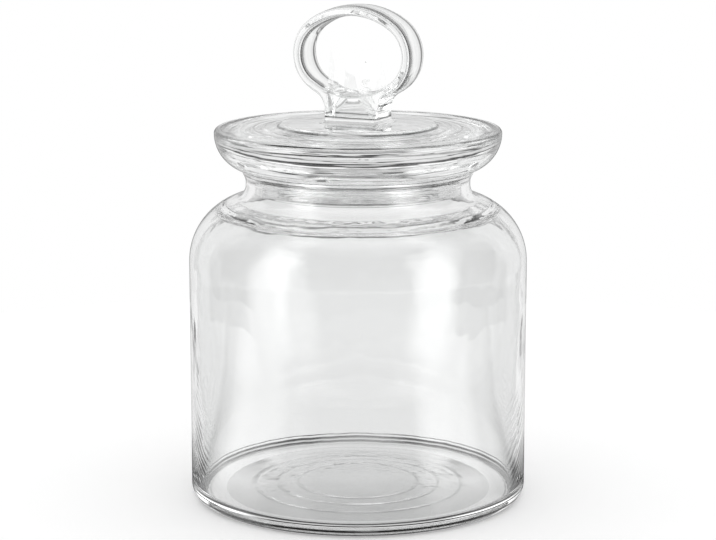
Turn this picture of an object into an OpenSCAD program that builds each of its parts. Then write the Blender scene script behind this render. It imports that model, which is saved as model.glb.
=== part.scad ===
// Round glass storage jar with a pressed glass lid that carries a ring handle,
// sealed by a finned soft plastic ring on the lid's plug. Millimetres, +Z up,
// origin at the middle of the foot. The ring handle lies in the XZ plane.

/* [Jar] */
// Outer diameter of the body
body_diameter = 116; // [104:1:150]
// Height from the foot to the top of the lip
jar_height = 114.2; // [95:0.2:180]
// Radius of the rounded heel, where the wall meets the foot
heel_radius = 4.5; // [2:0.5:6]
// Wall just under the shoulder, where the blown glass is thinnest
upper_wall = 2; // [1.5:0.1:3]
// Wall just above the floor, where the glass settles
lower_wall = 3.2; // [2:0.1:5]
// Glass under the inside floor, measured at its edge
floor_thickness = 3; // [2.6:0.1:8]
// Radius of the inside corner between wall and floor
floor_radius = 3.2; // [2:0.2:10]
// How far the middle of the foot is pushed up
push_up = 1.8; // [0.5:0.1:2.4]
// Width of the flat ring that the jar stands on
bearing_ring = 7.5; // [3:0.5:12]
// How far the inside floor swells in the middle
floor_crown = 0.8; // [0.2:0.1:2]

/* [Neck] */
// Radius of the round shoulder
shoulder_radius = 22.4; // [16:0.2:24]
// Outer diameter at the waist of the neck
waist_diameter = 76.8; // [74:0.2:84]
// Bore of the mouth
mouth_diameter = 70.4; // [62:0.2:71]
// From the waist of the neck up to the top of the lip
waist_drop = 4.4; // [3.6:0.1:5.6]
// Length of the straight neck below the waist
neck_straight = 1; // [0.4:0.1:3]
// Radius of the hollow between the neck and the shoulder
neck_fillet = 4.8; // [4:0.1:8]
// Radius of the hollow under the flared lip
lip_flare = 5.2; // [4:0.1:8]
// Radius of the fire-polished edges of the lip
lip_edge = 1; // [0.6:0.1:1.4]

/* [Lid] */
// Diameter of the lid at its rim
rim_diameter = 98.2; // [92:0.2:120]
// From the seat on the seal up to the crest of the rim
rim_height = 12.9; // [9:0.1:13.6]
// Radius of the round underside of the rim
bowl_radius = 12.7; // [11.6:0.1:15]
// Radius of the rounded crest of the rim
crest_radius = 1.6; // [0.8:0.1:2]
// Width of the rim's top, from its outer side to where it dips
rim_width = 2.6; // [2.2:0.1:4]
// Width of the slope from the rim down to the hollow inside it
rim_slope = 3.4; // [2:0.1:5]
// Depth of the hollow between the rim and the middle disc, below the rim's crest
moat_depth = 1; // [0.4:0.1:2.5]
// How much that hollow rises from the rim to the middle disc
moat_rise = 1.4; // [0.2:0.1:2]
// Diameter of the raised middle disc
disc_diameter = 55.2; // [48:0.2:64]
// Height of the middle disc above the hollow round it
disc_height = 1.4; // [1:0.1:4]
// Width of the slope round the middle disc
disc_slope = 1.5; // [1.2:0.1:4]
// Length of the plug under the seat
plug_length = 9.2; // [6:0.1:14]
// Glass round the hollow in the plug, at its mouth
plug_wall = 4.6; // [3:0.1:8]
// How much the hollow in the plug narrows towards its roof
plug_draft = 1; // [0.4:0.1:2]
// Glass between the middle disc and the roof of the hollow
roof_thickness = 8; // [5:0.1:11]
// Radius of the corner under the roof of the hollow
roof_radius = 3; // [1:0.1:4]
// Radius of the small rounded edges on the lid
lid_edge = 0.8; // [0.3:0.1:1.2]

/* [Handle] */
// Width of the oval finger hole
hole_width = 38.4; // [36:0.2:42]
// Height of the oval finger hole
hole_height = 27.4; // [26:0.2:30]
// Radius of the finger hole at its two ends
hole_end_radius = 11; // [10:0.2:11.6]
// Thickness of the band round the finger hole
band_thickness = 2.8; // [2.4:0.1:3.2]
// Depth of the band, front to back
band_depth = 13.5; // [9:0.1:18]
// Radius of the rounded edges of the band
band_edge = 0.9; // [0.6:0.1:1]
// Width of the stem under the ring
stem_width = 20.4; // [16:0.2:24]
// From the middle disc up to the bottom of the finger hole
stem_height = 10.2; // [9.6:0.1:14]
// Radius of the hollows where the ring runs into the stem
stem_fillet = 6; // [4:0.1:6.6]
// Radius of the long slight hollow down the stem's sides
stem_waist = 60; // [30:1:120]
// Radius of the hollow round the foot of the stem
foot_fillet = 1.8; // [1.5:0.1:2.4]
// How far the foot of the stem spreads over the disc
foot_spread = 1.3; // [0.8:0.1:1.4]

/* [Seal] */
// Thickness of the flange between lid and lip
flange_thickness = 1.1; // [1.1:0.1:2]
// How far the flange stands proud of the lip
flange_overhang = 0.4; // [0:0.1:0.8]
// Radius of the rounded edge of the flange
flange_edge = 0.5; // [0.2:0.05:0.5]
// Wall of the sleeve round the plug
sleeve_wall = 1.5; // [1:0.1:2.2]
// How far the fins stand out from the sleeve
fin_reach = 1.9; // [1:0.1:2.4]
// Number of fins
fin_count = 5; // [3:1:5]
// Distance from fin to fin
fin_pitch = 1.5; // [1.2:0.05:1.6]
// Thickness of a fin at its root
fin_root = 0.7; // [0.5:0.05:0.9]
// Thickness of a fin at its tip
fin_tip = 0.4; // [0.3:0.05:0.5]
// How far a fin's tip leans up
fin_lean = 0.3; // [0:0.05:0.4]
// From the lip down to the middle of the highest fin
fin_start = 1.9; // [1.6:0.1:3]
// From the middle of the lowest fin down to the end of the sleeve
sleeve_tail = 0.7; // [0.5:0.1:1.5]

/* [Fits] */
// Radial gap between the plug and the sleeve round it
plug_clearance = 0.05; // [0.02:0.01:0.1]
// Radial gap between the fins and the bore of the mouth
fin_clearance = 0.1; // [0.05:0.01:0.2]

/* [Hidden] */
$fn = 96;
// Largest turn between two points on a round outline, in degrees
arc_step = 6;
// Points along a shallow dome
dome_steps = 8;
// Points nearer to each other than this are one point
same_point = 0.001;
// How deep one piece of glass reaches into the next where they are one pressing
fuse = 0.6;

body_r = body_diameter / 2;
waist_r = waist_diameter / 2;
mouth_r = mouth_diameter / 2;
waist_z = jar_height - waist_drop;
neck_z = waist_z - neck_straight;
bearing_r = body_r - heel_radius - bearing_ring;
floor_z = floor_thickness;
floor_r = body_r - lower_wall - floor_radius;

// The shoulder and the hollow above it are two arcs that touch: this is how far
// apart in height their centres lie, for the outside or for the inside of the wall.
function shoulder_rise(shoulder, hollow) =
    let (sideways = waist_r + neck_fillet - (body_r - shoulder_radius))
    sqrt(pow(shoulder + hollow, 2) - pow(sideways, 2));
neck_centre = [waist_r + neck_fillet, neck_z];
shoulder_centre = [body_r - shoulder_radius, neck_z - shoulder_rise(shoulder_radius, neck_fillet)];
inner_shoulder_radius = shoulder_radius - upper_wall;
inner_neck_radius = neck_centre.x - mouth_r;
inner_shoulder_centre = [
    shoulder_centre.x,
    neck_z - shoulder_rise(inner_shoulder_radius, inner_neck_radius)
];

// The round edge of the lip touches the hollow of the flare below it.
flare_centre = [waist_r + lip_flare, waist_z];
lip_rise = waist_drop - lip_edge;
lip_centre = [
    flare_centre.x - sqrt(pow(lip_flare + lip_edge, 2) - pow(lip_rise, 2)),
    jar_height - lip_edge
];
lip_r = lip_centre.x + lip_edge;

seat_z = jar_height + flange_thickness;
sleeve_bore_r = mouth_r - fin_clearance - fin_reach - sleeve_wall;
sleeve_r = sleeve_bore_r + sleeve_wall;
fin_r = sleeve_r + fin_reach;
plug_r = sleeve_bore_r - plug_clearance;
flange_r = lip_r + flange_overhang;
seal_z = jar_height - fin_start - (fin_count - 1) * fin_pitch - sleeve_tail;

rim_r = rim_diameter / 2;
crest_z = seat_z + rim_height;
bowl_z = crest_z - crest_radius;
bowl_centre = [rim_r - bowl_radius, bowl_z];
bowl_end = asin((bowl_z - seat_z) / bowl_radius);
moat_z = crest_z - moat_depth;
disc_z = moat_z + moat_rise + disc_height;
disc_r = disc_diameter / 2;
plug_z = seat_z - plug_length;
hollow_r = plug_r - plug_wall;
roof_z = disc_z - roof_thickness;

// The finger hole is an oval of four arcs: two flat ones above and below, and
// two tight ones at the ends.
end_reach = hole_width / 2 - hole_end_radius;
flat_radius = (pow(end_reach, 2) + pow(hole_height / 2, 2) - pow(hole_end_radius, 2))
    / (hole_height - 2 * hole_end_radius);
flat_reach = flat_radius - hole_height / 2;
end_turn = atan2(flat_reach, end_reach);
ring_z = disc_z + stem_height + hole_height / 2;
// Width of the strip along one side of the band, up to the round edges of the other.
strip_width = band_thickness - band_edge;
// How far the stem's core lies behind its sides, past their round edges.
core_inset = (band_edge + band_thickness / 2) / 2;
// Centre of the hollow beside the stem, which runs from the ring into the stem's side.
hollow_x = stem_width / 2 + stem_fillet;
hollow_span = flat_radius + band_thickness + stem_fillet;
hollow_z = flat_reach - sqrt(pow(hollow_span, 2) - pow(hollow_x, 2));
hollow_turn = acos(hollow_x / hollow_span);
stem_foot = -hole_height / 2 - stem_height;
// Centre of the long slight hollow below that, down the stem's side.
waist_x = stem_width / 2 + stem_waist;
waist_turn = asin((hollow_z - stem_foot + fuse) / stem_waist);

function unit(v) = v / norm(v);
function angle_of(v) = atan2(v.y, v.x);

// Points on an arc from one angle to another, both ends included.
function arc(centre, radius, from, to) =
    let (steps = max(2, ceil(abs(to - from) / arc_step)))
    [for (i = [0:steps])
        let (a = from + (to - from) * i / steps)
        centre + radius * [cos(a), sin(a)]];

// Points of a rounded corner between two straight stretches of an outline.
function corner_arc(before, at, after, radius) =
    let (
        back = unit(before - at),
        ahead = unit(after - at),
        half = acos(back * ahead) / 2,
        centre = at + unit(back + ahead) * radius / sin(half),
        start = angle_of(at + back * radius / tan(half) - centre),
        turn = angle_of(at + ahead * radius / tan(half) - centre) - start,
        sweep = turn > 180 ? turn - 360 : turn < -180 ? turn + 360 : turn
    )
    arc(centre, radius, start, start + sweep);

// An outline of [x, y, corner radius] points with its corners rounded.
function rounded(corners) =
    let (last = len(corners) - 1)
    [for (i = [0:last])
        let (at = [corners[i].x, corners[i].y])
        each (corners[i].z == 0 || i == 0 || i == last) ? [at] :
            corner_arc(
                [corners[i - 1].x, corners[i - 1].y], at,
                [corners[i + 1].x, corners[i + 1].y], corners[i].z)];

// A shallow dome from the axis out to a radius, standing on a level.
function dome(radius, rise, level) =
    let (ball = (pow(radius, 2) + pow(rise, 2)) / (2 * rise))
    [for (i = [0:dome_steps])
        let (r = radius * i / dome_steps)
        [r, level + rise - ball + sqrt(pow(ball, 2) - pow(r, 2))]];

function reversed(points) = [for (i = [len(points) - 1:-1:0]) points[i]];

// Arcs that run into each other share a point: this keeps it once.
function joined(stretches) =
    let (points = [for (stretch = stretches) each stretch])
    [for (i = [0:len(points) - 1])
        if (i == 0 || norm(points[i] - points[i - 1]) > same_point) points[i]];

// Outline of half the jar: foot, outside, lip, inside, floor.
function jar_outline() =
    let (
        tangent = angle_of(neck_centre - shoulder_centre),
        inner_tangent = angle_of(neck_centre - inner_shoulder_centre),
        flare_end = angle_of(lip_centre - flare_centre)
    )
    joined([
        dome(bearing_r, push_up, 0),
        arc([body_r - heel_radius, heel_radius], heel_radius, -90, 0),
        arc(shoulder_centre, shoulder_radius, 0, tangent),
        arc(neck_centre, neck_fillet, 180 + tangent, 180),
        arc(flare_centre, lip_flare, 180, flare_end),
        arc(lip_centre, lip_edge, flare_end - 180, 90),
        arc([mouth_r + lip_edge, jar_height - lip_edge], lip_edge, 90, 180),
        arc(neck_centre, inner_neck_radius, 180, 180 + inner_tangent),
        arc(inner_shoulder_centre, inner_shoulder_radius, inner_tangent, 0),
        arc([floor_r, floor_z + floor_radius], floor_radius, 0, -90),
        reversed(dome(floor_r, floor_crown, floor_z))]);

module glass_jar() {
    color("gainsboro", 0.4)
        rotate_extrude() polygon(jar_outline());
}

// Outline of half the lid without its handle: top, rim, underside, plug, hollow.
function lid_outline() =
    joined([
        rounded([
            [0, disc_z, 0],
            [disc_r - disc_slope, disc_z, lid_edge],
            [disc_r, moat_z + moat_rise, lid_edge],
            [rim_r - rim_width - rim_slope, moat_z, lid_edge],
            [rim_r - rim_width, crest_z, lid_edge],
            [rim_r - crest_radius, crest_z, 0]]),
        arc([rim_r - crest_radius, bowl_z], crest_radius, 90, 0),
        arc(bowl_centre, bowl_radius, 0, -bowl_end),
        rounded([
            [plug_r, seat_z, 0],
            [plug_r, plug_z, lid_edge],
            [hollow_r, plug_z, lid_edge],
            [hollow_r - plug_draft, roof_z, roof_radius],
            [0, roof_z, 0]])]);

// Cross-section of the handle's band, its inner side on the Y axis.
module band_section() {
    strip_section();
    translate([band_thickness, 0])
        mirror([1, 0])
            strip_section();
}

// The part of that section that holds the round edges of one side.
module strip_section() {
    translate([0, band_edge - band_depth / 2])
        square([strip_width, band_depth - 2 * band_edge]);
    translate([band_edge, -band_depth / 2])
        square([strip_width - band_edge, band_depth]);
    for (y = [-1, 1])
        translate([band_edge, y * (band_depth / 2 - band_edge)])
            circle(band_edge);
}

// Sweep of a section round a centre in the XZ plane.
module bend(centre, radius, from, sweep) {
    translate([centre.x, 0, centre.y])
        rotate([90, 0, 0])
            rotate([0, 0, from])
                rotate_extrude(angle = sweep)
                    translate([radius, 0])
                        children();
}

// Band round the finger hole. Between the two hollows beside the stem it is only
// the strip that holds the hole's own round edges.
module ring() {
    bend([0, -flat_reach], flat_radius, end_turn, 180 - 2 * end_turn)
        band_section();
    bend([0, flat_reach], flat_radius, 180 + hollow_turn, 180 - 2 * hollow_turn)
        strip_section();
    for (side = [0, 180])
        rotate([0, 0, side]) {
            bend([end_reach, 0], hole_end_radius, -end_turn, 2 * end_turn)
                band_section();
            bend([0, flat_reach], flat_radius, -hollow_turn, hollow_turn - end_turn)
                band_section();
        }
}

// Sides of the stem under the ring, which carry the band's round edges down.
module stem_sides() {
    for (side = [0, 180])
        rotate([0, 0, side]) {
            bend([hollow_x, hollow_z], stem_fillet, 180 - hollow_turn, hollow_turn)
                strip_section();
            bend([waist_x, hollow_z], stem_waist, 180, waist_turn)
                strip_section();
        }
}

// Core between the stem's sides. It starts behind the round edges of the sides and
// of the finger hole.
module stem_core() {
    side = stem_width / 2 - core_inset;
    low = stem_foot - fuse;
    translate([0, band_depth / 2, 0])
        rotate([90, 0, 0])
            linear_extrude(band_depth)
                difference() {
                    polygon([
                        [0, flat_reach],
                        [hollow_x, hollow_z],
                        [side, hollow_z],
                        [side, low],
                        [-side, low],
                        [-side, hollow_z],
                        [-hollow_x, hollow_z]]);
                    translate([0, flat_reach])
                        circle(flat_radius + core_inset);
                    for (x = [-hollow_x, hollow_x])
                        translate([x, hollow_z])
                            circle(stem_fillet + core_inset);
                }
}

// Hollow flare all round the foot of the stem, where it runs out on the disc.
module stem_flare() {
    width = stem_width + 2 * foot_spread;
    depth = band_depth + 2 * foot_spread;
    translate([0, 0, stem_foot])
        difference() {
            translate([-width / 2, -depth / 2, -fuse])
                cube([width, depth, foot_fillet + fuse]);
            for (x = [-1, 1])
                translate([x * (stem_width / 2 + foot_fillet), 0, foot_fillet])
                    rotate([90, 0, 0])
                        cylinder(r = foot_fillet, h = 2 * depth, center = true);
            for (y = [-1, 1])
                translate([0, y * (band_depth / 2 + foot_fillet), foot_fillet])
                    rotate([0, 90, 0])
                        cylinder(r = foot_fillet, h = 2 * width, center = true);
        }
}

module glass_lid() {
    color("gainsboro", 0.4) {
        rotate_extrude() polygon(lid_outline());
        translate([0, 0, ring_z]) {
            ring();
            stem_sides();
            stem_core();
            stem_flare();
        }
    }
}

// One fin: root, leaning tip, root.
function fin(level) = [
    [sleeve_r, level + fin_root / 2],
    [fin_r, level + fin_lean + fin_tip / 2],
    [fin_r, level + fin_lean - fin_tip / 2],
    [sleeve_r, level - fin_root / 2]];

// Outline of half the seal: flange, finned sleeve, bore.
function seal_outline() =
    joined([
        rounded([
            [sleeve_bore_r, seat_z, 0],
            [flange_r, seat_z, flange_edge],
            [flange_r, jar_height, flange_edge],
            [sleeve_r, jar_height, 0]]),
        [for (i = [0:fin_count - 1]) each fin(jar_height - fin_start - i * fin_pitch)],
        [[sleeve_r, seal_z], [sleeve_bore_r, seal_z]]]);

module lid_seal() {
    color("whitesmoke", 0.6)
        rotate_extrude() polygon(seal_outline());
}

glass_jar();
glass_lid();
lid_seal();
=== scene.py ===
import math

import bmesh
import bpy
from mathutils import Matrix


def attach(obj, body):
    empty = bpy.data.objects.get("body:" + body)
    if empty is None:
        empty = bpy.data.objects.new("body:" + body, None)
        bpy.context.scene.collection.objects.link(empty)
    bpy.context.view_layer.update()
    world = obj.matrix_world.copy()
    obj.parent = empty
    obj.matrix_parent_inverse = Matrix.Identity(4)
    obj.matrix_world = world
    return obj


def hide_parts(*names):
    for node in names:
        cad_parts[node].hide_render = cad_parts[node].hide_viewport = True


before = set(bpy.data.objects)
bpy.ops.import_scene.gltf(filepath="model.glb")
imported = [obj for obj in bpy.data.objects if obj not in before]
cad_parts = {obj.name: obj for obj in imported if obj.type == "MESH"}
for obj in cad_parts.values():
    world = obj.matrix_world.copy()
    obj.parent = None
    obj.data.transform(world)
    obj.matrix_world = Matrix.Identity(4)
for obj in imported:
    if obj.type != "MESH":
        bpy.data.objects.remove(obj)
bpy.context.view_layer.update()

MM = 0.001

# Points nearer than this are joined. Steps of arcs are in degrees, those of a full turn are counted.
MEET = 0.0005 * MM
ARC_STEP = 3
CORNER_STEP = 10
LATHE_STEPS = 256
SEAL_STEPS = 192

# The jar, in millimetres, as the construction has it.
body_r = 58
jar_height = 114.2
heel_radius = 4.5
upper_wall = 2
lower_wall = 3.2
floor_z = 3
floor_radius = 3.2
push_up = 1.8
bearing_r = 46
floor_crown = 0.8
shoulder_radius = 22.4
waist_r = 38.4
mouth_r = 35.2
waist_z = 109.8
neck_z = 108.8
neck_fillet = 4.8
lip_flare = 5.2
lip_edge = 1

neck_x = waist_r + neck_fillet
shoulder_x = body_r - shoulder_radius
neck_reach = neck_x - shoulder_x
inner_radius = shoulder_radius - upper_wall
inner_fillet = neck_x - mouth_r
inner_rise = math.sqrt((inner_radius + inner_fillet) ** 2 - neck_reach**2)
inner_z = neck_z - inner_rise
floor_r = body_r - lower_wall - floor_radius
flare_x = waist_r + lip_flare
lip_z = jar_height - lip_edge
lip_x = flare_x - math.sqrt((lip_flare + lip_edge) ** 2 - (lip_z - waist_z) ** 2)

# Small relief of the blown glass: rings in the foot, and a ring of settled glass inside the
# shoulder. That ring lies between two directions in degrees from the shoulder's middle. Painted
# dark shade on it is strongest towards one azimuth and opposite it.
foot_rings = (21, 28, 36)
foot_ring_width = 1.6
foot_ring_rise = 0.08
foot_wave = 0.45
foot_stretch = 9
foot_wave_middle = 28
foot_wave_half = 16
settled_low = 54
settled_high = 66
settled_rise = 0.8
settled_wave = 1.0
settled_stretch = 14
settled_shade_azimuth = 115

# The lid's plate and plug.
seat_z = 115.3
rim_r = 49.1
crest_z = 128.2
bowl_radius = 12.7
crest_radius = 1.6
rim_width = 2.6
rim_slope = 3.4
moat_z = 127.2
moat_rise = 1.4
disc_r = 27.6
disc_z = 130
disc_slope = 1.5
plug_r = 31.65
plug_z = 106.1
hollow_r = 27.05
plug_draft = 1
roof_z = 122
roof_radius = 3
lid_edge = 0.8
moat_margin = 2

# Small relief of the pressed glass: rings in the moat.
press_rings = (31.5, 35.5, 39.5)
press_ring_width = 0.9
press_ring_rise = 0.2

# The lid's ring and stem. The band is about a millimetre thicker inward than the construction's,
# and its side and edge are rounder.
hole_width = 36.6
hole_height = 26.1
hole_end_radius = 10.6
band_thickness = 3.8
band_depth = 13.5
nose_depth = 1.7
side_crown = 0.3
nose_inset = 1.2
stem_width = 20.4
stem_height = 10.2
stem_fillet = 6
stem_waist = 60
stem_sink = 1.5
stem_open_r = 17
foot_fillet = 1.8
foot_spread = 1.3
foot_hem = 0.5

# The seal.
sleeve_bore_r = 31.7
sleeve_r = 33.2
fin_r = 35.1
fin_count = 5
fin_pitch = 1.5
fin_root = 0.7
fin_tip = 0.4
fin_lean = 0.3
fin_start = 1.9
seal_z = 105.6
flange_reach = 0.4
flange_r = lip_x + lip_edge + flange_reach
flange_edge = 0.5


def angle(x, z):
    """Direction of a point in degrees, from X towards Z."""
    return math.degrees(math.atan2(z, x))


def ball_radius(radius, rise):
    """Radius of the ball that a shallow dome is cut from."""
    return (radius**2 + rise**2) / (2 * rise)


def swell(value, middle, half):
    """A rounded swelling from 0 to 1 and back about a middle."""
    off = abs(value - middle) / half
    return (1 + math.cos(math.pi * off)) / 2 if off < 1 else 0


def heading(azimuth):
    """Level direction of an azimuth in degrees, 0 towards the front and 90 to the right."""
    a = math.radians(azimuth)
    return (math.sin(a), -math.cos(a), 0)


def cosine(degrees):
    return math.cos(math.radians(degrees))


class Pen:
    """Draws outlines in the XZ plane as chains of edges, in millimetres."""

    def __init__(self, name, x, z):
        bpy.ops.object.select_all(action="DESELECT")
        bpy.ops.mesh.primitive_plane_add()
        self.piece = bpy.context.object
        self.piece.name = self.piece.data.name = name
        bpy.ops.object.mode_set(mode="EDIT")
        bpy.ops.mesh.select_mode(type="VERT")
        bpy.ops.mesh.select_all(action="SELECT")
        self.drop(x, z)

    def drop(self, x, z):
        """Shrinks the plane just added to one point and puts it at the start of an outline."""
        bpy.ops.mesh.merge(type="CENTER")
        bpy.ops.transform.translate(value=(x * MM, 0, z * MM))
        self.x, self.z = x, z

    def lift(self, x, z):
        """Starts another outline."""
        bpy.ops.mesh.select_all(action="DESELECT")
        bpy.ops.mesh.primitive_plane_add()
        self.drop(x, z)

    def line(self, x, z, parts=1):
        step = ((x - self.x) / parts * MM, 0, (z - self.z) / parts * MM)
        for _ in range(parts):
            bpy.ops.mesh.extrude_region_move(TRANSFORM_OT_translate={"value": step})
        self.x, self.z = x, z

    def arc(self, x, z, turn, steps=0):
        """An arc about a middle, by a turn in degrees, positive from X to Z."""
        bpy.ops.mesh.spin(
            steps=steps or max(3, round(abs(turn) / ARC_STEP)),
            angle=math.radians(turn),
            center=(x * MM, 0, z * MM),
            axis=(0, 1, 0),
        )
        c, s = math.cos(math.radians(turn)), math.sin(math.radians(turn))
        dx, dz = self.x - x, self.z - z
        self.x, self.z = x + dx * c - dz * s, z + dx * s + dz * c

    def corners(self, points):
        """Straight stretches to points of x, z and corner radius, with those corners rounded."""
        for i, (x, z, radius) in enumerate(points):
            if not radius:
                self.line(x, z)
                continue
            ahead_x, ahead_z = points[i + 1][0] - x, points[i + 1][1] - z
            back_x, back_z = self.x - x, self.z - z
            a, b = math.hypot(ahead_x, ahead_z), math.hypot(back_x, back_z)
            ahead_x, ahead_z, back_x, back_z = ahead_x / a, ahead_z / a, back_x / b, back_z / b
            half = math.acos(ahead_x * back_x + ahead_z * back_z) / 2
            reach = radius / math.tan(half)
            self.line(x + back_x * reach, z + back_z * reach)
            mid_x, mid_z = ahead_x + back_x, ahead_z + back_z
            out = radius / math.sin(half) / math.hypot(mid_x, mid_z)
            turn = 180 - 2 * math.degrees(half)
            left = ahead_x * back_z - ahead_z * back_x > 0
            steps = max(3, round(turn / CORNER_STEP))
            self.arc(x + mid_x * out, z + mid_z * out, turn if left else -turn, steps)

    def close(self):
        """Joins points that meet, turns the faces outward and leaves the piece."""
        bpy.ops.mesh.select_all(action="SELECT")
        bpy.ops.mesh.remove_doubles(threshold=MEET)
        bpy.ops.mesh.normals_make_consistent(inside=False)
        bpy.ops.object.mode_set(mode="OBJECT")

    def lathe(self, steps):
        bpy.ops.mesh.select_all(action="SELECT")
        bpy.ops.mesh.spin(
            steps=steps, angle=2 * math.pi, center=(0, 0, 0), axis=(0, 0, 1), use_auto_merge=True
        )
        self.close()


def make_uneven(piece, name, weight_at, stretch, strength):
    """Pushes the points of one place in and out by a cloudy pattern."""
    place = piece.vertex_groups.new(name=name)
    for point in piece.data.vertices:
        x, y, z = point.co / MM
        weight = weight_at(math.hypot(x, y), z)
        if weight:
            place.add([point.index], weight, "REPLACE")
    bpy.ops.object.modifier_add(type="DISPLACE")
    wave = piece.modifiers[-1]
    wave.texture = bpy.data.textures.new(name, "CLOUDS")
    wave.texture.noise_scale = stretch * MM
    wave.texture_coords = "LOCAL"
    wave.vertex_group = place.name
    wave.strength = strength * MM
    bpy.ops.object.modifier_apply(modifier=wave.name)
    piece.vertex_groups.clear()


def draw_foot(pen):
    """The pushed-up foot with its rings, from the axis out to the bearing ring."""
    foot_ball = ball_radius(bearing_r, push_up)
    foot_steps = 92
    for k in range(1, foot_steps + 1):
        x = bearing_r * k / foot_steps
        ring = sum(swell(x, middle, foot_ring_width) for middle in foot_rings)
        pen.line(x, push_up - foot_ball + math.sqrt(foot_ball**2 - x**2) + foot_ring_rise * ring)


def draw_settled_ring(pen):
    """The ring of settled glass inside the shoulder, as a low swelling of the wall."""
    ring_steps = 16
    for k in range(1, ring_steps + 1):
        turn = math.radians(settled_high + (settled_low - settled_high) * k / ring_steps)
        reach = inner_radius - settled_rise * swell(k, ring_steps / 2, ring_steps / 2)
        pen.line(shoulder_x + reach * math.cos(turn), inner_z + reach * math.sin(turn))


def in_settled_ring(r, z):
    out, up = r - shoulder_x, z - inner_z
    inside = math.hypot(out, up) < inner_radius + 0.1
    middle, half = (settled_low + settled_high) / 2, (settled_high - settled_low) / 2
    return inside * swell(angle(out, up), middle, half)


def in_foot(r, z):
    return (z < floor_z - 0.5) * swell(r, foot_wave_middle, foot_wave_half)


def draw_jar():
    rise = math.sqrt((shoulder_radius + neck_fillet) ** 2 - neck_reach**2)
    tangent = angle(neck_reach, rise)
    inner_tangent = angle(neck_reach, inner_rise)
    flare_end = angle(lip_x - flare_x, lip_z - waist_z)
    floor_ball = ball_radius(floor_r, floor_crown)
    floor_turn = math.degrees(math.asin(floor_r / floor_ball))

    pen = Pen("jar_glass_body", 0, push_up)
    draw_foot(pen)
    pen.line(body_r - heel_radius, 0, 3)
    pen.arc(body_r - heel_radius, heel_radius, 90)
    pen.line(body_r, neck_z - rise, 10)
    pen.arc(shoulder_x, neck_z - rise, tangent)
    pen.arc(neck_x, neck_z, -tangent)
    pen.line(waist_r, waist_z, 2)
    pen.arc(flare_x, waist_z, flare_end - 180)
    pen.arc(lip_x, lip_z, 270 - flare_end, 12)
    pen.line(mouth_r + lip_edge, jar_height, 2)
    pen.arc(mouth_r + lip_edge, lip_z, 90, 8)
    pen.line(mouth_r, neck_z, 3)
    pen.arc(neck_x, neck_z, inner_tangent)
    pen.arc(shoulder_x, inner_z, settled_high - inner_tangent)
    draw_settled_ring(pen)
    pen.arc(shoulder_x, inner_z, -settled_low)
    pen.line(body_r - lower_wall, floor_z + floor_radius, 10)
    pen.arc(floor_r, floor_z + floor_radius, -90)
    pen.arc(0, floor_z + floor_crown - floor_ball, floor_turn, 16)
    pen.lathe(LATHE_STEPS)
    make_uneven(pen.piece, "settled_ring", in_settled_ring, settled_stretch, settled_wave)
    make_uneven(pen.piece, "foot", in_foot, foot_stretch, foot_wave)
    return pen.piece


def draw_plate(open_r):
    """The lid without its handle, open at the top inside a radius."""
    bowl_z = crest_z - crest_radius
    bowl_end = math.degrees(math.asin((bowl_z - seat_z) / bowl_radius))
    rim_foot = rim_r - rim_width - rim_slope
    moat_start, moat_end = disc_r + moat_margin, rim_foot - moat_margin

    def moat_level(x):
        return moat_z + moat_rise * (rim_foot - x) / (rim_foot - disc_r)

    pen = Pen("lid_glass_plate", open_r, disc_z)
    pen.corners(
        [
            (disc_r - disc_slope, disc_z, lid_edge),
            (disc_r, moat_z + moat_rise, lid_edge),
            (moat_start, moat_level(moat_start), 0),
        ]
    )
    moat_steps = 36
    for k in range(1, moat_steps + 1):
        x = moat_start + (moat_end - moat_start) * k / moat_steps
        ring = sum(swell(x, middle, press_ring_width) for middle in press_rings)
        pen.line(x, moat_level(x) + press_ring_rise * ring)
    pen.corners(
        [
            (rim_foot, moat_z, lid_edge),
            (rim_r - rim_width, crest_z, lid_edge),
            (rim_r - crest_radius, crest_z, 0),
        ]
    )
    pen.arc(rim_r - crest_radius, bowl_z, -90, 10)
    pen.arc(rim_r - bowl_radius, bowl_z, -bowl_end)
    pen.corners(
        [
            (plug_r, seat_z, 0),
            (plug_r, plug_z, lid_edge),
            (hollow_r, plug_z, lid_edge),
            (hollow_r - plug_draft, roof_z, roof_radius),
            (open_r, roof_z, 0),
            (0, roof_z, 0),
        ]
    )
    pen.lathe(LATHE_STEPS)
    return pen.piece


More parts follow.
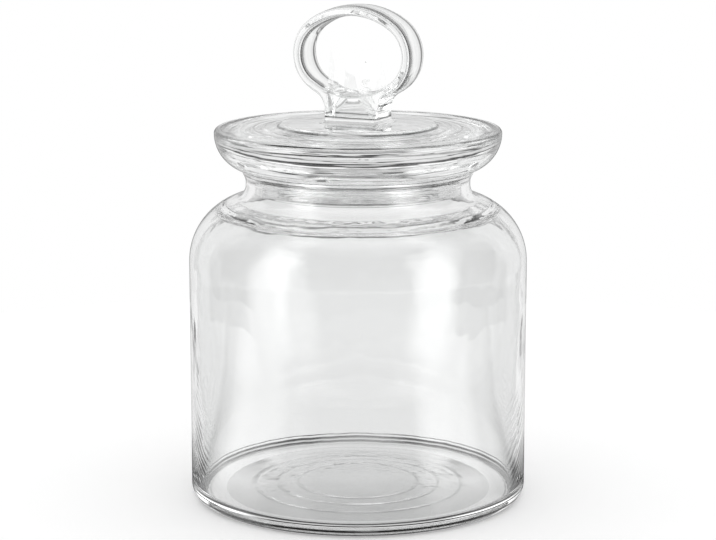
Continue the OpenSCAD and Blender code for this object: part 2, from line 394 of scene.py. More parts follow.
def draw_handle_sheet(foot_z):
    """The ring and stem as a flat sheet, and half the stem's width at a height."""
    half_height = hole_height / 2
    ring_z = disc_z + stem_height + half_height
    end_x = hole_width / 2 - hole_end_radius
    flat = (end_x**2 + half_height**2 - hole_end_radius**2) / (hole_height - 2 * hole_end_radius)
    reach = flat - half_height
    end_turn = angle(end_x, reach)
    hollow_x = stem_width / 2 + stem_fillet
    span = flat + band_thickness + stem_fillet
    hollow_z = ring_z + reach - math.sqrt(span**2 - hollow_x**2)
    hollow_turn = math.degrees(math.acos(hollow_x / span))
    waist_x = stem_width / 2 + stem_waist
    low_z = disc_z - stem_sink
    waist_turn = math.degrees(math.asin((hollow_z - low_z) / stem_waist))
    low_x = waist_x - stem_waist * math.cos(math.radians(waist_turn))
    ring_steps, end_steps, low_steps, hollow_steps, waist_steps, foot_steps = 24, 36, 4, 16, 5, 10

    def oval():
        """Up one side of the ring, over its top and down the other side."""
        pen.arc(0, ring_z + reach, hollow_turn - end_turn, low_steps)
        pen.arc(end_x, ring_z, 2 * end_turn, end_steps)
        pen.arc(0, ring_z - reach, 180 - 2 * end_turn, ring_steps)
        pen.arc(-end_x, ring_z, 2 * end_turn, end_steps)
        pen.arc(0, ring_z + reach, hollow_turn - end_turn, low_steps)

    pen = Pen("lid_glass", low_x, low_z)
    pen.arc(waist_x, hollow_z, -waist_turn, waist_steps)
    pen.arc(hollow_x, hollow_z, -hollow_turn, hollow_steps)
    oval()
    pen.arc(-hollow_x, hollow_z, -hollow_turn, hollow_steps)
    pen.arc(-waist_x, hollow_z, -waist_turn, waist_steps)
    pen.line(low_x, low_z, foot_steps)
    turn = math.radians(-hollow_turn)
    pen.lift(flat * math.cos(turn), ring_z + reach + flat * math.sin(turn))
    oval()
    pen.arc(0, ring_z + reach, 180 - 2 * hollow_turn, 2 * (hollow_steps + waist_steps) + foot_steps)
    bpy.ops.mesh.select_all(action="SELECT")
    bpy.ops.mesh.remove_doubles(threshold=MEET)
    bpy.ops.mesh.bridge_edge_loops()
    return pen.piece, waist_x - math.sqrt(stem_waist**2 - (hollow_z - foot_z) ** 2)


def swell_band(piece):
    """Swells the sheet to half the band's depth, full at the side and round at the nose, then
    mirrors it."""
    bpy.ops.mesh.select_all(action="SELECT")
    bpy.ops.mesh.normals_make_consistent(inside=False)
    mesh = bmesh.from_edit_mesh(piece.data)
    mesh.faces.ensure_lookup_table()
    if mesh.faces[0].normal.y < 0:
        bpy.ops.mesh.flip_normals()
    side = band_depth / 2 - nose_depth
    side_steps, nose_steps = 5, 7
    section = [
        (side * k / side_steps, side_crown * (k / side_steps) ** 2) for k in range(side_steps + 1)
    ]
    for k in range(1, nose_steps + 1):
        a = math.radians(90 * k / nose_steps)
        dip = side_crown + nose_inset * (1 - math.cos(a))
        section.append((side + nose_depth * math.sin(a), dip))
    bpy.ops.mesh.select_mode(type="FACE")
    for (y, dip), (next_y, next_dip) in zip(section, section[1:]):
        bpy.ops.mesh.inset(
            thickness=(next_dip - dip) * MM,
            depth=(next_y - y) * MM,
            use_boundary=True,
            use_even_offset=True,
        )
    bpy.ops.mesh.select_all(action="SELECT")
    bpy.ops.object.mode_set(mode="OBJECT")
    bpy.ops.object.modifier_add(type="MIRROR")
    mirror = piece.modifiers[-1]
    mirror.use_axis = (False, True, False)
    mirror.merge_threshold = 0.002 * MM
    bpy.ops.object.modifier_apply(modifier=mirror.name)


def flare_foot(half_x, half_y, foot_z):
    """Cuts the stem at a height, then flares its open foot out to the disc and along it."""
    bpy.ops.object.mode_set(mode="EDIT")
    bpy.ops.mesh.select_all(action="SELECT")
    bpy.ops.mesh.normals_make_consistent(inside=False)
    bpy.ops.mesh.bisect(
        plane_co=(0, 0, foot_z * MM), plane_no=(0, 0, 1), clear_inner=True, threshold=0.0001 * MM
    )
    bpy.ops.mesh.select_mode(type="EDGE")
    bpy.ops.mesh.select_all(action="DESELECT")
    bpy.ops.mesh.select_non_manifold()
    full = math.acos(1 - foot_spread / foot_fillet)
    flare_steps = 6
    rings = []
    for k in range(1, flare_steps):
        a = full * k / flare_steps
        rings.append((foot_fillet * (1 - math.cos(a)), foot_fillet * (1 - math.sin(a))))
    rings += [(foot_spread, 0), (foot_spread + foot_hem, 0)]
    spread, height = 0, foot_fillet
    for new_spread, new_height in rings:
        bpy.ops.mesh.extrude_edges_move(
            TRANSFORM_OT_translate={"value": (0, 0, (new_height - height) * MM)}
        )
        bpy.ops.transform.resize(
            value=(
                (half_x + new_spread) / (half_x + spread),
                (half_y + new_spread) / (half_y + spread),
                1,
            ),
            center_override=(0, 0, (disc_z + new_height) * MM),
        )
        spread, height = new_spread, new_height
    bpy.ops.object.mode_set(mode="OBJECT")


def draw_handle():
    """The ring and its stem, open at the foot."""
    foot_z = disc_z + foot_fillet
    piece, foot_x = draw_handle_sheet(foot_z)
    swell_band(piece)
    flare_foot(foot_x, band_depth / 2, foot_z)
    return piece


def draw_lid():
    plate = draw_plate(stem_open_r)
    handle = draw_handle()
    bpy.ops.object.select_all(action="DESELECT")
    plate.select_set(True)
    handle.select_set(True)
    bpy.context.view_layer.objects.active = handle
    bpy.ops.object.join()
    bpy.ops.object.mode_set(mode="EDIT")
    bpy.ops.mesh.select_mode(type="EDGE")
    bpy.ops.mesh.select_all(action="DESELECT")
    bpy.ops.mesh.select_non_manifold()
    bpy.ops.mesh.fill()
    bpy.ops.mesh.select_all(action="SELECT")
    bpy.ops.mesh.normals_make_consistent(inside=False)
    bpy.ops.object.mode_set(mode="OBJECT")
    return handle


def draw_seal():
    pen = Pen("seal_plastic_ring", sleeve_bore_r, seat_z)
    pen.corners(
        [
            (flange_r, seat_z, flange_edge),
            (flange_r, jar_height, flange_edge),
            (sleeve_r, jar_height, 0),
        ]
    )
    for i in range(fin_count):
        level = jar_height - fin_start - i * fin_pitch
        pen.line(sleeve_r, level + fin_root / 2)
        pen.line(fin_r, level + fin_lean + fin_tip / 2, 3)
        pen.line(fin_r, level + fin_lean - fin_tip / 2)
        pen.line(sleeve_r, level - fin_root / 2, 3)
    pen.line(sleeve_r, seal_z)
    pen.line(sleeve_bore_r, seal_z)
    pen.line(sleeve_bore_r, seat_z)
    pen.lathe(SEAL_STEPS)
    return pen.piece


def smooth(piece, degrees):
    bpy.ops.object.select_all(action="DESELECT")
    piece.select_set(True)
    bpy.context.view_layer.objects.active = piece
    bpy.ops.object.shade_smooth_by_angle(angle=math.radians(degrees))


class Nodes:
    """Short ways to add nodes to one tree."""

    def __init__(self, tree):
        self.tree = tree

    def link(self, made, socket):
        self.tree.links.new(made, socket)

    def add(self, kind, inputs=(), **settings):
        node = self.tree.nodes.new(kind)
        for key, value in settings.items():
            setattr(node, key, value)
        for key, value in dict(inputs).items():
            if isinstance(value, bpy.types.NodeSocket):
                self.link(value, node.inputs[key])
            else:
                node.inputs[key].default_value = value
        return node

    def use(self, tree, inputs):
        """A node group with its inputs; gives its first output."""
        return self.add("ShaderNodeGroup", inputs, node_tree=tree).outputs[0]

    def math(self, operation, a, b=0.0):
        return self.add("ShaderNodeMath", {0: a, 1: b}, operation=operation).outputs[0]

    def times(self, product, *factors):
        for factor in factors:
            product = self.math("MULTIPLY", product, factor)
        return product

    def plus(self, a, b):
        return self.math("ADD", a, b)

    def minus(self, a, b):
        return self.math("SUBTRACT", a, b)

    def vector(self, operation, a, b=(0, 0, 0)):
        return self.add("ShaderNodeVectorMath", {0: a, 1: b}, operation=operation).outputs["Vector"]

    def dot(self, a, b):
        node = self.add("ShaderNodeVectorMath", {0: a, 1: b}, operation="DOT_PRODUCT")
        return node.outputs["Value"]

    def length(self, a):
        return self.add("ShaderNodeVectorMath", {0: a}, operation="LENGTH").outputs["Value"]

    def mix(self, factor, a, b):
        return self.add("ShaderNodeMix", {0: factor, 2: a, 3: b}, data_type="FLOAT").outputs[0]

    def blend(self, factor, a, b):
        """A mix of two colours."""
        return self.add("ShaderNodeMix", {0: factor, 6: a, 7: b}, data_type="RGBA").outputs[2]

    def ramp(self, value, low, high, to_low=0.0, to_high=1.0):
        node = self.add(
            "ShaderNodeMapRange",
            {
                "Value": value,
                "From Min": low,
                "From Max": high,
                "To Min": to_low,
                "To Max": to_high,
            },
            interpolation_type="SMOOTHSTEP",
        )
        return node.outputs[0]

    def span(self, value, low, high, to_low=0.0, to_high=1.0):
        """A ramp between two lengths in millimetres."""
        return self.ramp(value, low * MM, high * MM, to_low, to_high)

    def noise(self, place, scale, detail, roughness=0.5):
        return self.add(
            "ShaderNodeTexNoise",
            {"Vector": place, "Scale": scale, "Detail": detail, "Roughness": roughness},
        ).outputs["Fac"]

    def sway(self, noise, amount):
        """A noise as a wavering to both sides of nought."""
        return self.times(self.minus(noise, 0.5), amount)


def group(name, vectors, floats, output):
    """A new node group with its sockets, and short ways to fill it."""
    tree = bpy.data.node_groups.new(name, "ShaderNodeTree")
    for kind, sockets in (("NodeSocketVector", vectors), ("NodeSocketFloat", floats)):
        for socket in sockets:
            tree.interface.new_socket(socket, in_out="INPUT", socket_type=kind)
    tree.interface.new_socket(output, in_out="OUTPUT", socket_type="NodeSocketFloat")
    nodes = Nodes(tree)
    return nodes, nodes.add("NodeGroupInput").outputs, nodes.add("NodeGroupOutput").inputs[output]


def material(name):
    made = bpy.data.materials.new(name)
    made.use_nodes = True
    return made, Nodes(made.node_tree), made.node_tree.nodes["Principled BSDF"]


def ripple_group():
    """Slow unevenness of hand-worked glass, as a height."""
    nodes, given, made = group("glass_ripple", ("Place", "Size", "Seed"), (), "Height")
    place = nodes.vector("DIVIDE", given["Place"], given["Size"])
    place = nodes.vector("ADD", place, given["Seed"])
    nodes.link(nodes.noise(place, scale=1.0, detail=2.0, roughness=0.45), made)
    return nodes.tree


def streak_group():
    """Fine streaks that run round the axis, as turning and pressing leave them."""
    nodes, given, made = group("round_streak", ("Place",), ("Level", "Along", "Across"), "Streak")
    flat = nodes.vector("NORMALIZE", nodes.vector("MULTIPLY", given["Place"], (1, 1, 0)))
    around = nodes.add(
        "ShaderNodeVectorMath", {0: flat, "Scale": given["Along"]}, operation="SCALE"
    ).outputs["Vector"]
    level = nodes.math("DIVIDE", given["Level"], given["Across"])
    level = nodes.add("ShaderNodeCombineXYZ", {"Z": level}).outputs[0]
    nodes.link(nodes.noise(nodes.vector("ADD", around, level), scale=1.0, detail=2.0), made)
    return nodes.tree


def painted_line_group():
    """A mask for a thin painted shade line along a level or a radius, that fades in and out along
    its way.
    """
    nodes, given, made = group(
        "painted_glass_line", ("Place",), ("Distance", "Middle", "Half", "Grain", "Least"), "Mask"
    )
    noise = nodes.noise(given["Place"], given["Grain"], detail=2.0)
    middle = nodes.plus(given["Middle"], nodes.sway(noise, given["Half"]))
    off = nodes.math("ABSOLUTE", nodes.minus(given["Distance"], middle))
    line = nodes.ramp(nodes.math("DIVIDE", off, given["Half"]), 0.3, 1.0, 1.0, 0.0)
    strength = nodes.add(
        "ShaderNodeMapRange",
        {"Value": noise, "From Min": 0.35, "From Max": 0.5, "To Min": given["Least"]},
    ).outputs[0]
    nodes.link(nodes.times(line, strength), made)
    return nodes.tree


GLASS_IOR = 1.52
PLASTIC_IOR = 1.49
JAR_TINT = (0.925, 0.929, 0.928, 1)
LID_TINT = (0.985, 0.99, 0.988, 1)
# Dark grey of the painted shade where glass is seen edge-on.
PAINTED_EDGE_SHADE = (0.3, 0.31, 0.31, 1)
CLEAR_PLASTIC = (0.998, 0.998, 0.998, 1)
CLOUDY_PLASTIC = (0.97, 0.972, 0.972, 1)


class Glass:
    """A clear glass whose bump heights, and painted shade and dark lines, are added one after
    another.

    Lengths are in millimetres. A tone is the grey that the glass is taken to, from 0 for black.
    """

    def __init__(self, name, tint):
        self.look, self.nodes, self.shader = material(name)
        nodes = self.nodes
        # Painted shade at the edges: where a face is seen at a grazing angle, the glass is taken
        # towards a dark grey, standing in for the dark room seen through it.
        facing = nodes.add("ShaderNodeLayerWeight", {"Blend": 0.5}).outputs["Facing"]
        self.colour = nodes.blend(nodes.ramp(facing, 0.72, 1.0), tint, PAINTED_EDGE_SHADE)
        self.shader.inputs["Roughness"].default_value = 0.0
        self.shader.inputs["IOR"].default_value = GLASS_IOR
        self.shader.inputs["Transmission Weight"].default_value = 1.0
        self.place = nodes.add("ShaderNodeTexCoord").outputs["Object"]
        self.parts = nodes.add("ShaderNodeSeparateXYZ", {0: self.place}).outputs
        self.height = self.parts["Z"]
        self.flat = nodes.vector("MULTIPLY", self.place, (1, 1, 0))
        self.radius = nodes.length(self.flat)
        self.relief = None

    def between(self, value, low, high, soft):
        """A mask of the stretch between two values."""
        up = self.nodes.span(value, low - soft, low + soft)
        down = self.nodes.span(value, high - soft, high + soft, 1.0, 0.0)
        return self.nodes.times(up, down)

    def towards(self, azimuth):
        """How far a place lies towards an azimuth, as a cosine."""
        return self.nodes.dot(self.nodes.vector("NORMALIZE", self.flat), heading(azimuth))

    def raise_by(self, height, amount):
        """Adds a height to the bump, times an amount."""
        height = self.nodes.times(height, amount)
        self.relief = height if self.relief is None else self.nodes.plus(self.relief, height)

    def ripple(self, size, seed, amount, mask=1.0):
        size = [v * MM for v in size]
        height = self.nodes.use(ripple_tree, {"Place": self.place, "Size": size, "Seed": seed})
        self.raise_by(self.nodes.times(height, mask), amount)

    def streak(self, level, along, across):
        """A mask of streaks round the axis, a number of them along the way and so wide across."""
        inputs = {"Place": self.place, "Level": level, "Along": along, "Across": across * MM}
        return self.nodes.use(streak_tree, inputs)

    def shade(self, mask, tone):
        """Takes the glass towards a tone where a mask is; used for painted shade and for the neck's
        lighter tint.
        """
        self.colour = self.nodes.blend(mask, self.colour, (tone, tone, tone, 1))

    def line(self, distance, middle, half, tone, mask=1.0, grain=60.0, least=0.0):
        """A painted shade line at a height or a radius, never fainter along its way than its least.
        """
        made = self.nodes.use(
            painted_line_tree,
            {
                "Place": self.place,
                "Distance": distance,
                "Middle": middle * MM,
                "Half": half * MM,
                "Grain": grain,
                "Least": least,
            },
        )
        self.shade(self.nodes.times(made, mask), tone)

    def finish(self):
        bump = self.nodes.add(
            "ShaderNodeBump", {"Height": self.relief, "Strength": 1.0, "Distance": MM}
        )
        self.nodes.link(bump.outputs["Normal"], self.shader.inputs["Normal"])
        self.nodes.link(self.colour, self.shader.inputs["Base Color"])
        return self.look


def add_settled_ring(glass):
    """The wavy ring of thicker glass that settled inside the shoulder: a bump of streaks, painted
    dark shade on the streaks that is strongest at two sides, and painted dark lines along its edges.
    """
    nodes = glass.nodes
    wall_middle = shoulder_radius - upper_wall / 2
    out = nodes.minus(glass.radius, shoulder_x * MM)
    up = nodes.minus(glass.height, inner_z * MM)
    across = nodes.math("SQRT", nodes.plus(nodes.times(out, out), nodes.times(up, up)))
    inside = nodes.span(across, wall_middle - 0.2, wall_middle + 0.2, 1.0, 0.0)
    inside = nodes.times(inside, nodes.span(glass.height, 85, 90))
    level = nodes.plus(
        glass.radius, nodes.sway(nodes.noise(glass.flat, scale=30.0, detail=3.0), 4 * MM)
    )
    wave = nodes.times(glass.between(level, low=44.2, high=47.4, soft=0.8), inside)
    strands_and_shade = glass.streak(level, along=5, across=1.2)
    glass.raise_by(nodes.times(wave, strands_and_shade), 0.15)
    # Painted shade, strongest at two sides: dark streaks standing in for the dark room seen through
    # the ring edge-on.
    painted_side_shade = nodes.ramp(nodes.math("ABSOLUTE", glass.towards(settled_shade_azimuth)), 0.5, 0.75, 0.45, 1.0)
    strands_and_shade = nodes.plus(strands_and_shade, nodes.times(painted_side_shade, 0.2))
    strands_and_shade = nodes.times(nodes.ramp(strands_and_shade, 0.64, 0.7), painted_side_shade)
    glass.shade(nodes.times(wave, strands_and_shade), tone=0.0)
    # Painted dark lines along both edges of the ring.
    for middle, half, tone in ((47.6, 0.4, 0.05), (44.0, 0.35, 0.1)):
        glass.line(level, middle, half, tone, inside, least=0.3)


def add_foot_rings(glass):
    """Painted grey shade over the foot, painted dark lines on the rings left in the foot by the
    blowing, and a painted dark line round the floor.
    """
    nodes = glass.nodes
    foot = nodes.span(glass.height, 2.0, 2.6, 1.0, 0.0)
    inner = nodes.span(glass.radius, 34, 42, 1.0, 0.0)
    # Painted grey shade over the foot, stronger in its middle.
    glass.shade(nodes.times(foot, nodes.ramp(inner, 0.0, 1.0, 0.45, 0.75)), tone=0.5)
    # Painted dark lines on the foot's rings.
    for middle in foot_rings:
        glass.line(glass.radius, middle, half=0.8, tone=0.2, mask=foot, grain=50.0)
    # A painted dark line round the floor's edge.
    floor = glass.between(glass.height, low=2.8, high=4.6, soft=0.2)
    glass.line(glass.radius, floor_r + 0.2, half=0.5, tone=0.35, mask=floor, grain=30.0, least=0.4)


def add_creases(glass):
    """Two patches of slanting creases low in the wall."""
    nodes = glass.nodes
    pitch = 3.0
    bend = nodes.times(nodes.noise(glass.place, scale=40.0, detail=1.0), 9 * MM)
    for azimuth, lean in ((-65, 0.8), (115, -0.8)):
        x, y, _ = heading(azimuth)
        patch = nodes.ramp(glass.towards(azimuth), cosine(34), cosine(10))
        patch = nodes.times(patch, glass.between(glass.height, low=12, high=38, soft=7))
        along = nodes.plus(nodes.dot(glass.place, (-y * lean, x * lean, 1)), bend)
        crease = nodes.math("SINE", nodes.times(along, 2 * math.pi / (pitch * MM)))
        glass.raise_by(nodes.times(crease, patch), 0.03)


def add_heel_lines(glass):
    """Painted dark lines and two painted dark wedges on the heel, standing in for the dark room seen
    through its heavy glass.
    """
    nodes = glass.nodes
    heel = nodes.span(glass.radius, 53, 54)
    # Painted dark lines round the heel.
    for middle, half, least in ((0.6, 1.0, 0.7), (2.4, 0.9, 0.4), (4.3, 0.4, 0.6)):
        glass.line(glass.height, middle, half, tone=0.0, mask=heel, grain=16.0, least=least)
    heel = nodes.span(glass.radius, 52.5, 53)
    # Two painted dark wedges at set azimuths.
    for azimuth, half, low, high in ((-23, 26, 0.8, 2.6), (72, 14, 1.6, 2.6)):
        wedge = nodes.ramp(glass.towards(azimuth), cosine(half), cosine(half / 2), 0.0, 0.8)
        wedge = nodes.times(wedge, glass.between(glass.height, low, high, soft=0.4))
        glass.shade(nodes.times(wedge, heel), tone=0.0)


def jar_look():
    glass = Glass("clear_blown_glass", JAR_TINT)
    nodes = glass.nodes
    glass.shade(nodes.span(glass.height, 100, 106), tone=0.985)
    above = nodes.span(glass.height, 22, 50)
    glass.ripple(size=(38, 38, 60), seed=(3.1, 7.2, 1.3), amount=0.3)
    glass.ripple(size=(14, 14, 20), seed=(9.4, 2.2, 5.3), amount=0.2, mask=above)
    glass.ripple(size=(9, 9, 60), seed=(2.4, 6.2, 0.3), amount=0.02, mask=above)
    glass.ripple(size=(30, 30, 3), seed=(1.7, 4.2, 8.3), amount=0.008, mask=above)
    add_settled_ring(glass)
    add_foot_rings(glass)
    add_creases(glass)
    add_heel_lines(glass)
    # A painted dark line round the lip.
    lip = nodes.span(glass.height, 111, 112)
    glass.line(glass.height, lip_z, half=0.4, tone=0.12, mask=lip, grain=55.0)
    return glass.finish()


def add_press_rings(glass):
    """Rings that the pressing leaves on the lid's top, as a bump with painted grey shade, and
    painted dark lines at the edges of its steps and on one ring.
    """
    nodes = glass.nodes
    top = glass.between(glass.height, low=126.9, high=130.6, soft=0.2)
    moat = nodes.times(top, glass.between(glass.radius, low=28.5, high=46, soft=0.5))
    rings = glass.streak(glass.radius, along=2.5, across=1.7)
    glass.raise_by(nodes.times(rings, moat), 0.08)
    # Painted grey shade on the rings.
    glass.shade(nodes.times(nodes.ramp(rings, 0.5, 0.6, 0.0, 0.65), moat), tone=0.4)
    # Painted dark lines at the rim's inner edge, on one ring and at the disc's edge.
    for middle, half, tone, least in (
        (rim_r - 2.5, 0.45, 0.1, 0.5),
        (press_rings[1], 0.4, 0.25, 0.4),
        (disc_r - 0.4, 0.6, 0.06, 0.3),
    ):
        glass.line(glass.radius, middle, half, tone, top, grain=45.0, least=least)


def add_band_edges(glass):
    """Painted soft grey shade along both edges of the ring's band, and a painted dark line on its
    back faces, where its far side is seen.
    """
    nodes = glass.nodes
    depth = nodes.math("ABSOLUTE", glass.parts["Y"])
    ring = nodes.span(glass.height, 136, 140)
    soft_band = nodes.times(glass.between(depth, low=3.4, high=5.4, soft=0.8), ring)
    # Painted grey shade.
    glass.shade(nodes.times(soft_band, 0.6), tone=0.6)
    # Painted dark line on faces turned away from the view.
    away = nodes.add("ShaderNodeNewGeometry").outputs["Backfacing"]
    dark_band = nodes.times(glass.between(depth, low=5.0, high=6.3, soft=0.3), ring)
    glass.shade(nodes.times(dark_band, away), tone=0.02)


def add_rim_streaks(glass):
    """Level streaks round the outside of the rim, as a bump with painted grey shade, and painted
    dark lines below its crest.
    """
    nodes = glass.nodes
    side = nodes.times(
        nodes.span(glass.radius, 41, 42), nodes.span(glass.height, 126, 127, 1.0, 0.0)
    )
    bands = glass.streak(glass.height, along=2.5, across=1.3)
    glass.raise_by(nodes.times(bands, side), 0.02)
    # Painted grey shade on the streaks.
    glass.shade(nodes.times(nodes.ramp(bands, 0.56, 0.64, 0.0, 0.5), side), tone=0.45)
    # Painted dark lines below the crest.
    crest = nodes.span(glass.radius, 46.4, 46.8)
    for below, half, least in ((0.5, 0.35, 0.4), (3, 0.45, 0.1), (5.6, 0.4, 0.1)):
        glass.line(glass.height, crest_z - below, half, 0.0, crest, grain=35.0, least=least)


def lid_look():
    glass = Glass("clear_pressed_glass", LID_TINT)
    glass.ripple(size=(16, 16, 10), seed=(5.1, 3.3, 6.1), amount=0.1)
    add_press_rings(glass)
    add_band_edges(glass)
    # A painted dark line round the foot of the stem.
    stem = glass.nodes.span(glass.radius, 14, 15, 1.0, 0.0)
    glass.line(glass.height, disc_z + 2.2, half=0.4, tone=0.06, mask=stem, least=0.6)
    add_rim_streaks(glass)
    # A painted dark line round the bottom of the plug.
    glass.line(glass.height, plug_z + 0.3, half=0.4, tone=0.0, grain=40.0, least=0.35)
    return glass.finish()


def seal_look():
    look, nodes, shader = material("translucent_plastic")
    place = nodes.add("ShaderNodeTexCoord").outputs["Object"]
    height = nodes.add("ShaderNodeSeparateXYZ", {0: place}).outputs["Z"]
    inputs = {"Place": place, "Level": height, "Along": 6, "Across": 0.9 * MM}
    cloudy = nodes.ramp(nodes.use(streak_tree, inputs), 0.35, 0.65)
    nodes.link(nodes.blend(cloudy, CLEAR_PLASTIC, CLOUDY_PLASTIC), shader.inputs["Base Color"])
    nodes.link(nodes.ramp(cloudy, 0.0, 1.0, 0.0, 0.05), shader.inputs["Roughness"])
    shader.inputs["IOR"].default_value = PLASTIC_IOR
    shader.inputs["Transmission Weight"].default_value = 1.0
    return look


def dress(piece, look):
    piece.data.materials.clear()
    piece.data.materials.append(look)


jar = draw_jar()
lid = draw_lid()
seal = draw_seal()
for piece, degrees in ((jar, 40), (lid, 35), (seal, 30)):
    smooth(piece, degrees)
ripple_tree = ripple_group()
streak_tree = streak_group()
painted_line_tree = painted_line_group()
dress(jar, jar_look())
dress(lid, lid_look())
dress(seal, seal_look())
for piece, body, node, slot in (
    (jar, "jar", "glass_jar", "jar_glass"),
    (lid, "lid", "glass_lid", "lid_glass"),
    (seal, "seal", "lid_seal", "seal_plastic"),
):
    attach(piece, body)
    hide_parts(node)

# Studio: a white table, a white backdrop and two tall soft boxes beside the camera.
# Azimuths and the pitch are in degrees, the lens and its sensor in millimetres, the rest in metres.
CAMERA_AZIMUTH = 25
CAMERA_DISTANCE = 0.8236
CAMERA_HEIGHT = 0.2399
CAMERA_PITCH = 11.077
CAMERA_LENS = 122.39
SENSOR_WIDTH = 36
LEFT_BOX = CAMERA_AZIMUTH - 63
RIGHT_BOX = CAMERA_AZIMUTH + 54
BACKDROP = CAMERA_AZIMUTH + 180
BACKDROP_LEAF = 37
TABLE_RADIUS = 0.34

# Heights on a ball of radius 1 round the jar, and brightness.
BOX_FADE = 0.08
ROOM_LEAST = 0.22
SCREENS_LEAST = 0.04


def softbox_group():
    """A patch of light with soft edges towards a heading, between two heights."""
    nodes, given, made = group(
        "softbox",
        ("Heading", "Towards"),
        ("Height", "Outer", "Inner", "Low", "High"),
        "Light",
    )
    along = nodes.dot(given["Heading"], given["Towards"])
    across = nodes.ramp(along, given["Outer"], given["Inner"])
    above = nodes.ramp(given["Height"], given["Low"], nodes.plus(given["Low"], BOX_FADE))
    below = nodes.ramp(
        given["Height"], nodes.minus(given["High"], BOX_FADE), given["High"], 1.0, 0.0
    )
    nodes.link(nodes.times(above, below, across), made)
    return nodes.tree


def studio_room(nodes, flat, height, top):
    """What mirrored rays see: soft boxes, a backdrop with two leaves and a low wall in front."""
    boxes = softbox_group()
    room = nodes.math("MAXIMUM", top, ROOM_LEAST)
    for azimuth, half, soft, low, high, strength in (
        (LEFT_BOX, 12, 9, -0.5, 0.75, 2.6),
        (RIGHT_BOX, 13, 9, -0.5, 0.75, 2.2),
        (BACKDROP, 12, 3, -1.2, 0.7, 0.4),
        (BACKDROP + BACKDROP_LEAF, 23, 4, -1.2, 0.7, 0.9),
        (BACKDROP - BACKDROP_LEAF, 23, 4, -1.2, 0.7, 0.9),
        (BACKDROP, 34, 10, 0.0, 0.7, 0.85),
        (CAMERA_AZIMUTH, 75, 10, -1.2, -0.1, 0.8),
    ):
        light = nodes.use(
            boxes,
            {
                "Heading": flat,
                "Towards": heading(azimuth),
                "Height": height,
                "Outer": cosine(half + soft),
                "Inner": cosine(half - soft),
                "Low": low,
                "High": high,
            },
        )
        room = nodes.math("MAXIMUM", room, nodes.times(light, strength))
    return room


def studio_screens(nodes, flat, parts, top):
    """What is seen through the glass: a wide white backdrop, dark beyond its sides, and white
    screens with gaps in front."""
    height = parts["Z"]
    back = nodes.dot(flat, heading(BACKDROP))
    turn = nodes.math("ARCTAN2", parts["X"], nodes.times(parts["Y"], -1.0))
    turn = nodes.times(nodes.minus(turn, math.radians(CAMERA_AZIMUTH)), 4.0)
    gaps = nodes.ramp(nodes.math("COSINE", turn), -0.95, 0.1, 0.6, 0.0)
    gaps = nodes.times(gaps, nodes.ramp(back, -0.6, -0.3, 1.0, 0.0))
    sides = nodes.times(nodes.ramp(back, -0.4, -0.25), nodes.ramp(back, 0.45, 0.55, 0.92, 0.0))
    low = nodes.minus(0.97, nodes.math("MAXIMUM", gaps, sides))
    low = nodes.times(low, nodes.ramp(height, 0.06, 0.085, 1.0, 0.0))
    mid = nodes.times(
        nodes.ramp(height, 0.095, 0.12, 0.0, 0.72), nodes.ramp(height, 0.72, 0.78, 1.0, 0.0)
    )
    screens = nodes.plus(low, nodes.plus(mid, nodes.times(top, 0.95)))
    return nodes.math("MAXIMUM", screens, SCREENS_LEAST)


def studio_world():
    world = bpy.data.worlds.new("studio")
    bpy.context.scene.world = world
    world.use_nodes = True
    nodes = Nodes(world.node_tree)
    path = nodes.add("ShaderNodeLightPath").outputs
    way = nodes.add("ShaderNodeTexCoord").outputs["Generated"]
    flat = nodes.vector("NORMALIZE", nodes.vector("MULTIPLY", way, (1, 1, 0)))
    parts = nodes.add("ShaderNodeSeparateXYZ", {0: way}).outputs
    top = nodes.ramp(parts["Z"], 0.8, 0.93)
    room = studio_room(nodes, flat, parts["Z"], top)
    screens = studio_screens(nodes, flat, parts, top)
    mirrored = nodes.math("GREATER_THAN", path["Glossy Depth"], 0.5)
    scattered = nodes.math("GREATER_THAN", path["Diffuse Depth"], 0.5)
    often = nodes.math("GREATER_THAN", path["Glossy Depth"], 2.5)
    seen = nodes.mix(mirrored, screens, nodes.mix(often, room, 0.95))
    seen = nodes.mix(scattered, seen, 1.0)
    seen = nodes.mix(path["Is Camera Ray"], seen, 1.0)
    shader = world.node_tree.nodes["Background"]
    nodes.link(seen, shader.inputs["Color"])
    shader.inputs["Strength"].default_value = 1.0


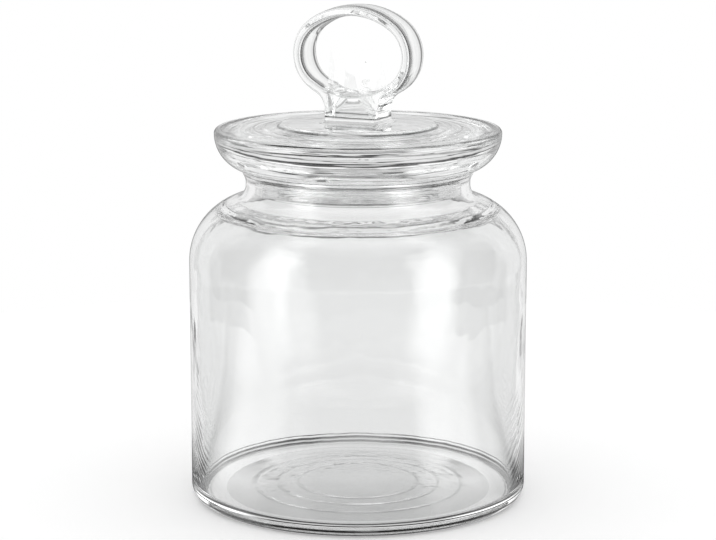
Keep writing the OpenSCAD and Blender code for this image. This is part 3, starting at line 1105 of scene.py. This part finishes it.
def painted_table_light(nodes):
    """Painted light and shadow on the table: how bright it glows to mirrored rays, brighter towards
    the soft boxes, the front and the backdrop and dimmer close round the jar, and to rays that go
    straight through the glass, with a painted shadow beneath the jar.
    """
    place = nodes.add("ShaderNodeTexCoord").outputs["Object"]
    flat = nodes.vector("NORMALIZE", place)

    def towards(azimuth, outer, inner):
        return nodes.ramp(nodes.dot(flat, heading(azimuth)), cosine(outer), cosine(inner))

    # Painted pools of light towards the soft boxes, the front and the backdrop.
    boxes = nodes.plus(towards(LEFT_BOX, 24, 4), towards(RIGHT_BOX, 24, 4))
    front = nodes.plus(nodes.times(boxes, 1.3), towards(CAMERA_AZIMUTH, 100, 80))
    screens = nodes.times(towards(BACKDROP, 50, 40), 0.5)

    # Light that fans out past both sides of the jar, and is dimmer close round it.
    beside = nodes.math("ABSOLUTE", nodes.dot(place, heading(CAMERA_AZIMUTH + 90)))
    behind = nodes.dot(place, heading(BACKDROP))
    fan = nodes.math(
        "DIVIDE", nodes.minus(beside, body_r * MM), nodes.math("MAXIMUM", behind, 5 * MM)
    )
    fan = nodes.times(nodes.ramp(fan, 0.2, 0.28), nodes.span(behind, 8, 30))
    mirror = nodes.plus(nodes.math("MAXIMUM", screens, nodes.times(fan, 0.75)), front)
    mirror = nodes.plus(nodes.times(mirror, 1.1), 0.15)
    radius = nodes.length(place)
    # Painted shade: the glow is dimmer close round the jar.
    close = nodes.times(nodes.span(radius, 50, 56), nodes.span(radius, 64, 110, 0.78, 0.0))
    mirror = nodes.times(mirror, nodes.minus(1.0, close))
    # A painted shadow beneath the jar, darker on the camera's side.
    painted_shadow = nodes.times(
        nodes.span(radius, 40, 75, 1.0, 0.0), nodes.span(behind, -12, 12, 0.35, 0.14)
    )
    return mirror, nodes.minus(0.9, painted_shadow)


def studio_floor():
    bpy.ops.object.select_all(action="DESELECT")
    bpy.ops.mesh.primitive_circle_add(vertices=128, radius=TABLE_RADIUS, fill_type="NGON")
    table = bpy.context.object
    table.name = "studio_table"
    look, nodes, shader = material("white_table")
    path = nodes.add("ShaderNodeLightPath").outputs
    shader.inputs["Roughness"].default_value = 0.9
    shader.inputs["Specular IOR Level"].default_value = 0.0
    tone = nodes.mix(path["Is Camera Ray"], 0.0, 0.8)
    colour = nodes.add("ShaderNodeCombineColor", {0: tone, 1: tone, 2: tone}).outputs[0]
    nodes.link(colour, shader.inputs["Base Color"])
    # Its glow to all rays but the camera's is painted light and shadow.
    mirror, clear = painted_table_light(nodes)
    mirrored = nodes.math("GREATER_THAN", path["Glossy Depth"], 0.5)
    glow = nodes.mix(path["Is Camera Ray"], nodes.mix(mirrored, clear, mirror), 0.3)
    shader.inputs["Emission Color"].default_value = (1, 1, 1, 1)
    nodes.link(glow, shader.inputs["Emission Strength"])
    dress(table, look)


def studio_camera():
    camera = bpy.data.objects.new("camera", bpy.data.cameras.new("camera"))
    bpy.context.scene.collection.objects.link(camera)
    camera.data.lens = CAMERA_LENS
    camera.data.sensor_width = SENSOR_WIDTH
    camera.data.clip_start = 0.05
    x, y, _ = heading(CAMERA_AZIMUTH)
    camera.location = (CAMERA_DISTANCE * x, CAMERA_DISTANCE * y, CAMERA_HEIGHT)
    camera.rotation_euler = (math.radians(90 - CAMERA_PITCH), 0, math.radians(CAMERA_AZIMUTH))
    bpy.context.scene.camera = camera


studio_world()
studio_floor()
studio_camera()
scene = bpy.context.scene
scene.view_settings.view_transform = "Standard"
scene.cycles.max_bounces = 32
scene.cycles.transmission_bounces = 32
scene.cycles.glossy_bounces = 32
scene.cycles.diffuse_bounces = 8
